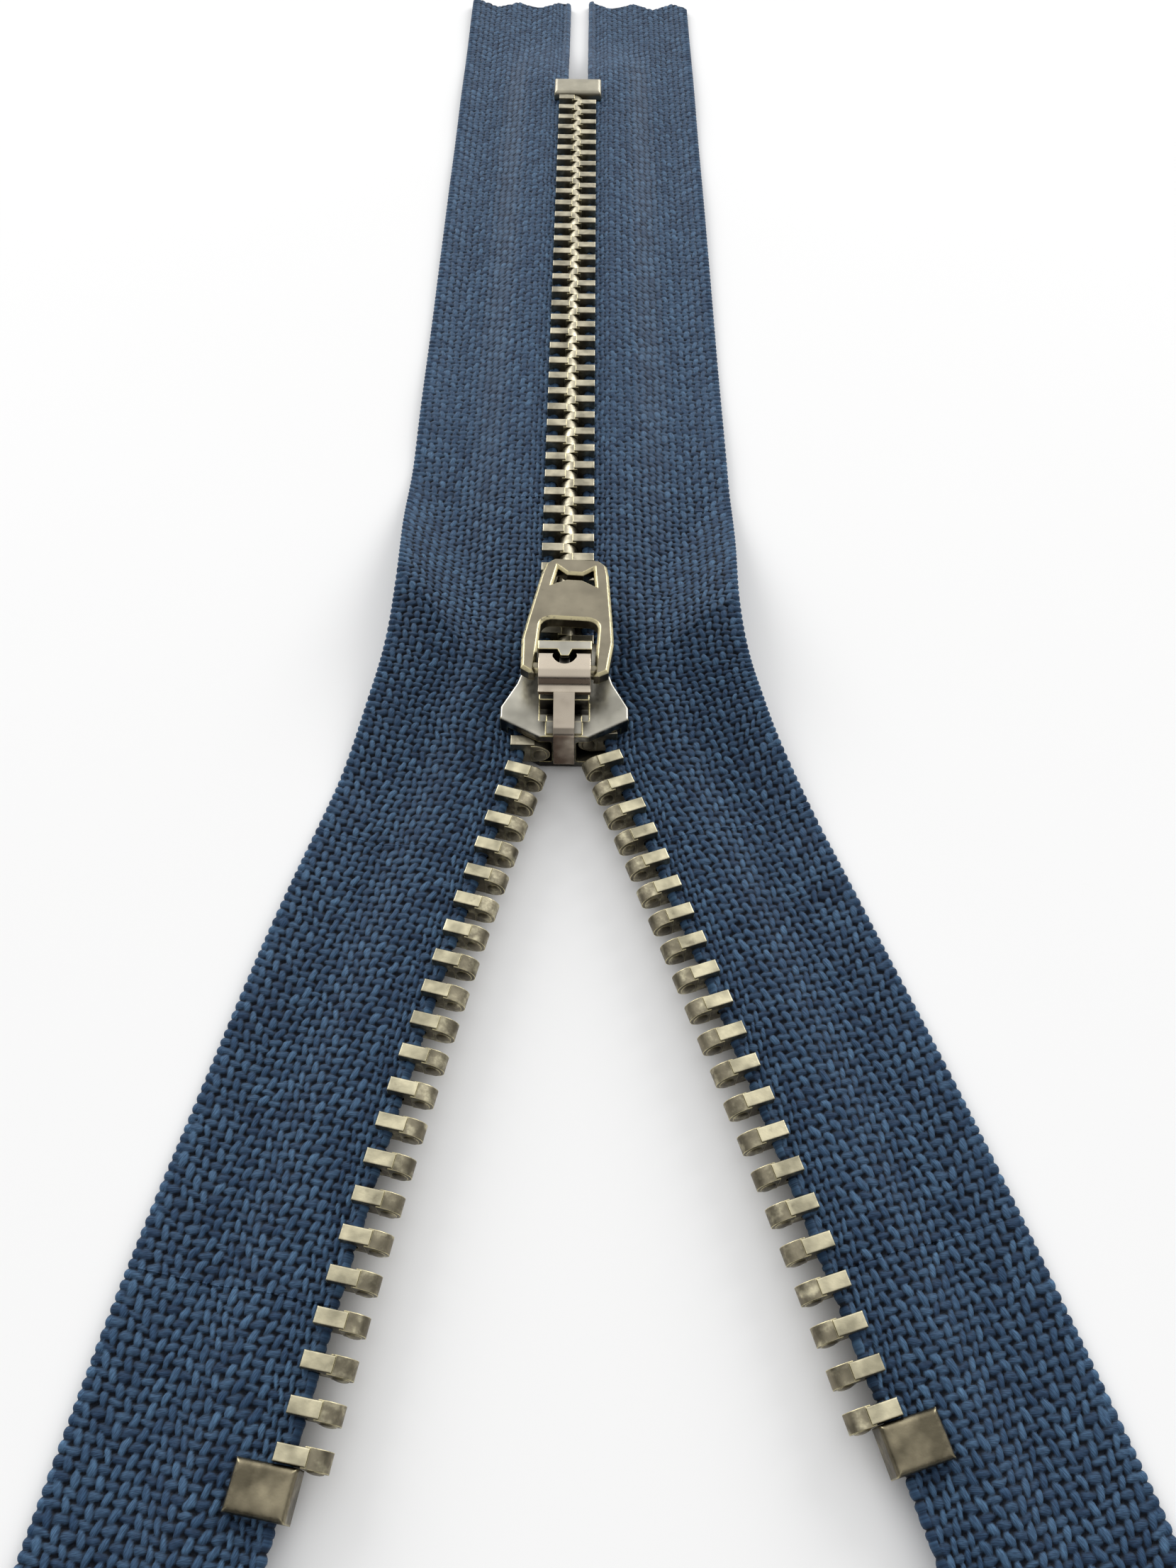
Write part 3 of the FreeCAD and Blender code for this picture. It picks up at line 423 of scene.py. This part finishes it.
# woven outer edge: where it starts and ends inside the tape's reach, height and sink of its scallops
EDGE_START = 0.85
EDGE_RUN = 0.55
SCALLOP_HEIGHT = 0.20
SCALLOP_SINK = 0.17
# relief on the bead cord and on the underside
BEAD_SHARE = 0.35
UNDER_DEPTH = 0.05
# room beyond the stop and before the leg's end within which the tape comes down to the floor
STOP_ROOM = 2.0
END_ROOM = 5.0
# depth below the crest at which the yarns' colour is down to the painted shade of the gaps
GAP_SHADE_DEPTH = 0.26


def section():
    """One tape section as a closed loop: place across and direction angle of each column, and two counts."""
    width = TAPE_REACH + BEAD_INSET
    outer_place = TAPE_REACH - OUTER_INSET
    top = np.linspace(-BEAD_INSET, outer_place, int(width / COLUMN))
    under = np.linspace(outer_place, -BEAD_INSET, int(width / UNDER_COLUMN))
    outer = np.linspace(90, -90, OUTER_ARC)[1:-1]
    inner = np.linspace(-90, -270, INNER_ARC)[1:-1]
    across = np.concatenate([top, np.full(len(outer), top[-1]), under, np.full(len(inner), under[-1])])
    angle = np.concatenate([np.full(len(top), 90.0), outer, np.full(len(under), -90.0), inner])
    return across, np.radians(angle), len(top), len(outer)


def half_thickness(u):
    """From the middle plane to the crest of the yarns; the bead cord swells the inner edge."""
    bead = np.sqrt(np.clip(BEAD_RADIUS ** 2 - (u + BEAD_INSET) ** 2, 0, None))
    return np.maximum(bead, TAPE_HALF)


def pinked(u, s, line):
    """Draw the last rows back to the zigzag that both cut ends have."""
    phase = ((u + CHAIN_HALF + PINK_SHIFT[line.side]) / PINK_PITCH) % 1.0
    zigzag = PINK_DEPTH * (1 - np.abs(phase * 2 - 1))
    back = np.clip((PINK_REACH - s) / PINK_REACH, 0, 1)
    back = back - np.clip((s - line.end_s + PINK_REACH) / PINK_REACH, 0, 1)
    return s + back * zigzag


def relief(line, u, s, angle):
    """Depth of the surface below the yarns' crest, warp mask and shade, for columns at the given angles."""
    depth, is_warp, shade = weave(u, s, CLOTH_SEED[line.side])
    depth = depth * (1 - FLAT_SHARE * smooth((TAIL_END - FLAT_START - s) / FLAT_RUN))
    edge = smooth((u - (TAPE_REACH - EDGE_START)) / EDGE_RUN)
    scallop = np.abs(np.sin(math.pi * s / PICK + 0.5 * np.sin(s * 0.9))) ** 0.6
    depth = depth * (1 - edge) + edge * (SCALLOP_HEIGHT * scallop - SCALLOP_SINK)
    bead = smooth((-0.1 - u) / 0.3)
    depth = depth * (1 - BEAD_SHARE * bead)
    coarse = -UNDER_DEPTH * (1 - np.cos(math.pi * s / PICK) * np.cos(math.pi * u / WARP))
    under = (angle < 0.1) & (angle > -1.7) & (edge < 0.5)
    return np.where(under, coarse, depth), is_warp, shade


def tape_points(line, rows):
    """Places of a grid of rows and section columns, with the weave's values at each."""
    across, angle = section()[:2]
    u = np.broadcast_to(across, (len(rows), len(across)))
    s = pinked(u, rows[:, None] + 0 * u, line)
    depth, is_warp, shade = relief(line, u, s, angle)
    radius = half_thickness(u) + depth
    step = 0.02
    far_sunk = smooth((TAIL_END - STOP_BACK - STOP_ROOM - s) / TAIL_SINK)
    near_sunk = smooth((s - line.end_s + TAIL_SINK + END_ROOM) / TAIL_SINK)
    sunk = far_sunk + near_sunk
    slope = (1 - sunk) * np.arctan2(section_level(u + step) - section_level(u - step), 2 * step)
    out = u + radius * np.cos(angle + slope)
    x, y, turn, calm = line.at(s)
    px = x + calm * smooth((out - 2.0) / 8.0) + out * np.cos(turn)
    py = y + out * np.sin(turn)
    lift = ridge(line.side, out, py) + drift(line.side, out, s)
    level = section_level(u) + sunk * (np.maximum(half_thickness(u), TAPE_HALF) - section_level(u))
    pz = level + radius * np.sin(angle + slope) + lift
    px = px - 0.035 * lift * lift * smooth(out / TAPE_REACH)
    px = px * (-1 if line.side == "left" else 1)
    places = np.stack([px, py, pz], axis=2).reshape(-1, 3) * MM
    # share of the yarn's colour against the painted shade of the gaps: 0 deep in the gaps, 1 at the crest
    gap_shade_mix = np.clip(1 + depth / GAP_SHADE_DEPTH, 0, 1)
    yarn = np.stack([shade, is_warp, gap_shade_mix, np.ones_like(gap_shade_mix)], axis=2).reshape(-1, 4)
    cloth = np.stack([u, s, 0 * u], axis=2).reshape(-1, 3)
    return places, yarn, cloth


def cap_faces(n_top, n_outer, n_all, first, flip):
    """Triangles that close the section at one end, between its upper and lower rows of points."""
    upper = list(range(n_top + n_outer // 2 + 1))
    lower = [n_all - 1 - k for k in range(n_all - len(upper))]
    faces = []
    i = j = 0
    while i < len(upper) - 1 or j < len(lower) - 1:
        ahead = (i + 1) / len(upper) <= (j + 1) / len(lower)
        if j == len(lower) - 1 or (ahead and i < len(upper) - 1):
            faces.append((upper[i], upper[i + 1], lower[j]))
            i += 1
        else:
            faces.append((upper[i], lower[j + 1], lower[j]))
            j += 1
    return [tuple(first + k for k in (face[::-1] if flip else face)) for face in faces]


def tape_piece(name, line, start, end, step, material):
    """Closed mesh of the tape between two distances along its line."""
    rows = np.linspace(start, end, max(int(round((end - start) / step)), 2) + 1)
    places, yarn, cloth = tape_points(line, rows)
    across, _, n_top, n_outer = section()
    n_all = len(across)
    base = np.arange(len(rows) - 1)[:, None] * n_all
    this = np.arange(n_all)[None, :]
    next_one = (this + 1) % n_all
    quads = np.stack([base + this, base + next_one, base + n_all + next_one, base + n_all + this], axis=2)
    quads = quads.reshape(-1, 4)
    mirrored = line.side == "left"
    if not mirrored:
        quads = quads[:, ::-1]
    caps = cap_faces(n_top, n_outer, n_all, 0, not mirrored)
    caps += cap_faces(n_top, n_outer, n_all, (len(rows) - 1) * n_all, mirrored)
    corners = np.concatenate([quads.ravel(), np.array(caps).ravel()])
    totals = np.concatenate([np.full(len(quads), 4), np.full(len(caps), 3)])
    mesh = bpy.data.meshes.new(name)
    mesh.vertices.add(len(places))
    mesh.vertices.foreach_set("co", places.ravel().astype(np.float32))
    mesh.loops.add(len(corners))
    mesh.loops.foreach_set("vertex_index", corners.astype(np.int32))
    mesh.polygons.add(len(totals))
    mesh.polygons.foreach_set("loop_start", (np.cumsum(totals) - totals).astype(np.int32))
    mesh.polygons.foreach_set("use_smooth", np.ones(len(totals), bool))
    mesh.update(calc_edges=True)
    # random tone of each float, warp mask, and the share of painted gap shade
    yarn_data = mesh.attributes.new("yarn_tone_and_gap_shade", "FLOAT_COLOR", "POINT").data
    yarn_data.foreach_set("color", yarn.ravel().astype(np.float32))
    cloth_data = mesh.attributes.new("Cloth", "FLOAT_VECTOR", "POINT").data
    cloth_data.foreach_set("vector", cloth.ravel().astype(np.float32))
    mesh.materials.append(material)
    piece = bpy.data.objects.new(name, mesh)
    bpy.context.scene.collection.objects.link(piece)
    return piece


DARK_YARN, LIGHT_YARN = (0.018, 0.047, 0.101, 1), (0.061, 0.127, 0.221, 1)
WORN_YARN = (0.038, 0.079, 0.150, 1)
WEFT_TINT, WARP_TINT = (0.80, 0.80, 0.82, 1), (1.1, 1.1, 1.1, 1)
FILAMENT_SHADE, FILAMENT_LIGHT = (0.6, 0.6, 0.63, 1), (1.35, 1.33, 1.28, 1)
# colour of the painted shade deep in the gaps between the yarns
PAINTED_GAP_SHADE = (0.0015, 0.004, 0.010, 1)
SHEEN_TINT = (0.6, 0.75, 1.0, 1)
SPUN = 0.3


def filaments(shader, cloth, along_warp):
    """Fine streaks that run along the warp or along the weft."""
    turn = SPUN if along_warp else -SPUN
    size = (15.0, 2.0, 1.0) if along_warp else (2.0, 15.0, 1.0)
    spun = shader.node("VectorRotate", {"Vector": cloth, "Angle": turn}, rotation_type="Z_AXIS")
    placed = shader.node("Mapping", {"Vector": spun.outputs[0], "Scale": size})
    return shader.noise(placed.outputs[0], 1.0, 2.0, 0.5)


def cloth_material():
    """Navy polyester yarns with painted shade in the gaps between them, and fine filaments along each yarn.
    """
    material = bpy.data.materials.new("woven_navy")
    material.use_nodes = True
    shader = Shader(material.node_tree)
    yarn = shader.node("Attribute", attribute_name="yarn_tone_and_gap_shade").outputs["Color"]
    shade, warp, height = shader.node("SeparateColor", {0: yarn}).outputs[:3]
    cloth = shader.node("Attribute", attribute_name="Cloth").outputs["Vector"]
    along_weft, along_warp = filaments(shader, cloth, False), filaments(shader, cloth, True)
    streak = shader.node("Mix", {0: warp, 2: along_weft, 3: along_warp}, data_type="FLOAT").outputs[0]
    worn = shader.math("MULTIPLY", shader.ramp(shader.noise(cloth, 0.22, 2.0), 0.35, 0.75), 0.5)
    navy = shader.mix(shade, DARK_YARN, LIGHT_YARN)
    navy = shader.mix(worn, navy, WORN_YARN)
    navy = shader.mix(1.0, navy, shader.mix(warp, WEFT_TINT, WARP_TINT), "MULTIPLY")
    light = shader.mix(shader.ramp(streak, 0.3, 0.75), FILAMENT_SHADE, FILAMENT_LIGHT)
    navy = shader.mix(1.0, navy, light, "MULTIPLY")
    # painted shade: the colour falls to the gap shade where the surface lies below the yarns' crest
    tone = shader.mix(shader.ramp(height, 0.30, 0.95), PAINTED_GAP_SHADE, navy)
    bump = shader.node("Bump", {"Height": streak, "Strength": 0.55, "Distance": 0.05 * MM})
    body = shader.node("BsdfPrincipled", {"Base Color": tone, "Roughness": 0.62, "Specular IOR Level": 0.2,
                                          "Sheen Weight": 0.09, "Sheen Roughness": 0.4,
                                          "Sheen Tint": SHEEN_TINT, "Normal": bump.outputs[0]})
    shader.node("OutputMaterial", {"Surface": body.outputs[0]})
    return material


# ---------------------------------------------------------------- tapes
NEAR_CUT = TAIL_END - 66.0
FORK_CUT = TAIL_END - 24.0
LEG_CUT = 8.0
END_CUT = 40.0
ROW_STEP = {"far": 0.135, "near": 0.115, "fork": 0.1, "leg": 0.1, "end": 0.1}


def make_tapes():
    """Five sheets on each side, joined edge to edge, in place of the CAD tapes and bead cords."""
    material = cloth_material()
    for side in SIDES:
        line = RowLine(side)
        half, leg = f"{side}_half", f"{side}_leg"
        cuts = (0.0, NEAR_CUT, FORK_CUT, line.leg_s + LEG_CUT, line.leg_s + END_CUT, line.end_s)
        made = {}
        for (stem, step), start, end in zip(ROW_STEP.items(), cuts, cuts[1:]):
            name = f"{side}_woven_{stem}"
            made[stem] = tape_piece(name, line, start, end, step, material)
        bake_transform(made["far"])
        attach(made["near"], half)
        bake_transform(made["fork"])
        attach(made["leg"], leg)
        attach(made["end"], leg)
        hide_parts(f"{side}_tail_tape", f"{side}_tail_bead_cord")
        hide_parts(f"{side}_closed_tape", f"{side}_closed_bead_cord")
        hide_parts(f"{side}_leg_tape", f"{side}_leg_bead_cord")


# ---------------------------------------------------------------- metals
def scaled(colour, share):
    """Colour with its three channels multiplied."""
    return tuple(share * channel for channel in colour[:3]) + (1,)


def metal(name, face, patina_and_painted_shade, rim, rough=0.38, rim_width=0.12, painted_shade_reach=1.0, grain=900.0, dents=0.35,
          sloped=0.0, rub_level=None, mottle=0.15):
    """Aged plated metal: rubbed flat faces and edges, a darker wall colour that is part patination and part
    painted shade, deeper painted shade in hollows, small dents.

    face, patina_and_painted_shade and rim are the colours of rubbed faces, of walls and hollows (patination
    and painted shade), and of worn edges.
    rim_width is the width of the worn edges and painted_shade_reach the reach of the painted shade in
    hollows, both in mm.
    grain is the scale of the stains and dents, and dents the strength of the dents.
    sloped is how much of the rim's colour the bevels take.
    Below rub_level, in mm above the floor, the faces are less rubbed.
    mottle is the depth of the broad cloudy stains.
    """
    material = bpy.data.materials.new(name)
    material.use_nodes = True
    shader = Shader(material.node_tree)
    place = shader.node("TexCoord")
    spot = place.outputs["Object"]
    normal = shader.node("NewGeometry").outputs["Normal"]
    rounded = shader.node("Bevel", {"Radius": rim_width * MM}, samples=8).outputs[0]
    apart = shader.node("VectorMath", {0: rounded, 1: normal}, operation="DOT_PRODUCT")
    edge = shader.ramp(apart.outputs["Value"], 0.995, 0.90)
    # painted shade: ambient occlusion finds hollows and sheltered places, which are darkened below
    painted_shade_ao = shader.node("AmbientOcclusion", {"Distance": painted_shade_reach * MM}, samples=8, only_local=False)
    unshaded_share = shader.ramp(painted_shade_ao.outputs["AO"], 0.1, 0.85)
    broad = shader.noise(spot, grain, 3.0, 0.6)
    fine = shader.noise(spot, grain * 5, 2.0, 0.6)
    up = shader.math("ABSOLUTE", shader.node("SeparateXYZ", {0: place.outputs["Normal"]}).outputs["Z"])
    slant = shader.math("MULTIPLY", shader.ramp(up, 0.25, 0.5), shader.ramp(up, 0.95, 0.85))
    flat = shader.math("MULTIPLY", shader.ramp(up, 0.3, 0.9), shader.ramp(broad, 0.05, 0.42))
    if rub_level:
        level = shader.node("SeparateXYZ", {0: spot}).outputs["Z"]
        rubbed = shader.ramp(level, (rub_level - 0.05) * MM, (rub_level + 0.05) * MM)
        worn = shader.node("MapRange", {"Value": rubbed, "To Min": 0.2}).outputs[0]
        flat = shader.math("MULTIPLY", flat, worn)
    # walls take the wall colour, part patination and part painted shade; rubbed upward faces take the face
    # colour
    tone = shader.mix(flat, patina_and_painted_shade, face)
    tone = shader.mix(shader.ramp(broad, 0.45, 0.8), tone, scaled(face, 1.12))
    cloud = shader.noise(spot, grain * 0.6, 2.0, 0.5)
    stain = shader.node("MapRange", {"Value": cloud, "From Min": 0.35, "From Max": 0.65,
                                     "To Min": 1 - mottle, "To Max": 1 + 0.5 * mottle}).outputs[0]
    grey = shader.node("CombineColor", {0: stain, 1: stain, 2: stain}).outputs[0]
    tone = shader.mix(1.0, tone, grey, "MULTIPLY")
    bright = shader.math("MAXIMUM", edge, shader.math("MULTIPLY", slant, sloped))
    tone = shader.mix(shader.math("MULTIPLY", bright, shader.ramp(fine, 0.2, 0.5)), tone, rim)
    # painted shade in hollows: darkened to a third of the wall colour where ambient occlusion finds them
    tone = shader.mix(unshaded_share, scaled(patina_and_painted_shade, 0.35), tone)
    gloss = shader.node("MapRange", {"Value": fine, "To Min": rough - 0.08, "To Max": rough + 0.14})
    height = shader.math("ADD", broad, shader.math("MULTIPLY", fine, 0.25))
    bump = shader.node("Bump", {"Height": height, "Strength": dents, "Distance": 0.06 * MM,
                                "Normal": rounded})
    body = shader.node("BsdfPrincipled", {"Base Color": tone, "Metallic": 1.0, "Roughness": gloss.outputs[0],
                                          "Normal": bump.outputs[0]})
    shader.node("OutputMaterial", {"Surface": body.outputs[0]})
    return material


def dress(material, *nodes):
    """Give CAD nodes a material."""
    for name in nodes:
        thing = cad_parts[name]
        if thing.material_slots:
            for slot in thing.material_slots:
                slot.material = material
        else:
            thing.data.materials.append(material)


def make_metals():
    """Teeth, stops and slider parts in their own shades of aged brass, copper and steel."""
    tooth_look = dict(rough=0.40, rim_width=0.09, painted_shade_reach=0.45, grain=1100.0, dents=0.6, mottle=0.4)
    gold = (0.78, 0.70, 0.42, 1)
    open_teeth = metal("tooth_brass", (0.62, 0.57, 0.40, 1), (0.20, 0.175, 0.125, 1), gold,
                       rub_level=3.12, **tooth_look)
    # second copy of the tooth brass for the closed chain: duller faces and lighter walls, painted light that
    # brightens the closed heads
    shut_teeth_painted_light = metal("closed_tooth_brass_painted_light", (0.48, 0.44, 0.33, 1), (0.25, 0.22, 0.16, 1), gold,
                       **tooth_look)
    stop = metal("stop_brass", (0.45, 0.42, 0.33, 1), (0.35, 0.32, 0.24, 1), (0.62, 0.57, 0.40, 1),
                 rough=0.36, rim_width=0.2, painted_shade_reach=0.6, grain=700.0, dents=0.4)
    end_stop = metal("end_stop_brass", (0.28, 0.245, 0.165, 1), (0.14, 0.12, 0.08, 1), (0.52, 0.46, 0.29, 1),
                     rough=0.36, rim_width=0.2, painted_shade_reach=0.8, grain=900.0, dents=0.9, mottle=0.5)
    # slider: near-black walls and a long reach of the hollows paint the shade under the wings and inside the
    # window
    slider = metal("slider_brass_painted_shade", (0.50, 0.48, 0.41, 1), (0.05, 0.044, 0.038, 1), (0.80, 0.69, 0.36, 1),
                   rough=0.30, rim_width=0.16, painted_shade_reach=2.6, grain=500.0, dents=0.25, mottle=0.35)
    copper = metal("cover_copper", (0.66, 0.58, 0.47, 1), (0.13, 0.09, 0.066, 1), (0.64, 0.55, 0.40, 1),
                   rough=0.26, rim_width=0.08, painted_shade_reach=0.6, grain=210.0, dents=0.04, mottle=0.15)
    pull = metal("pull_brass", (0.275, 0.245, 0.18, 1), (0.11, 0.095, 0.07, 1), (0.70, 0.62, 0.37, 1),
                 rough=0.33, rim_width=0.16, painted_shade_reach=1.2, grain=520.0, dents=0.14, sloped=0.85, mottle=0.2)
    steel = metal("claw_steel", (0.35, 0.33, 0.30, 1), (0.10, 0.09, 0.08, 1), (0.5, 0.48, 0.44, 1),
                  rough=0.3, rim_width=0.05, painted_shade_reach=0.6, grain=900.0, dents=0.15)
    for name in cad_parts:
        if "_leg_teeth_" in name:
            dress(open_teeth, name)
        elif "_teeth_" in name:
            dress(shut_teeth_painted_light, name)
    dress(stop, "bottom_stop")
    dress(end_stop, "left_top_stop", "right_top_stop")
    dress(slider, "slider_body")
    dress(copper, "spring_cover")
    dress(pull, "pull_tab")
    dress(steel, "lock_claw")


make_camera()
make_stage()
make_tapes()
make_metals()
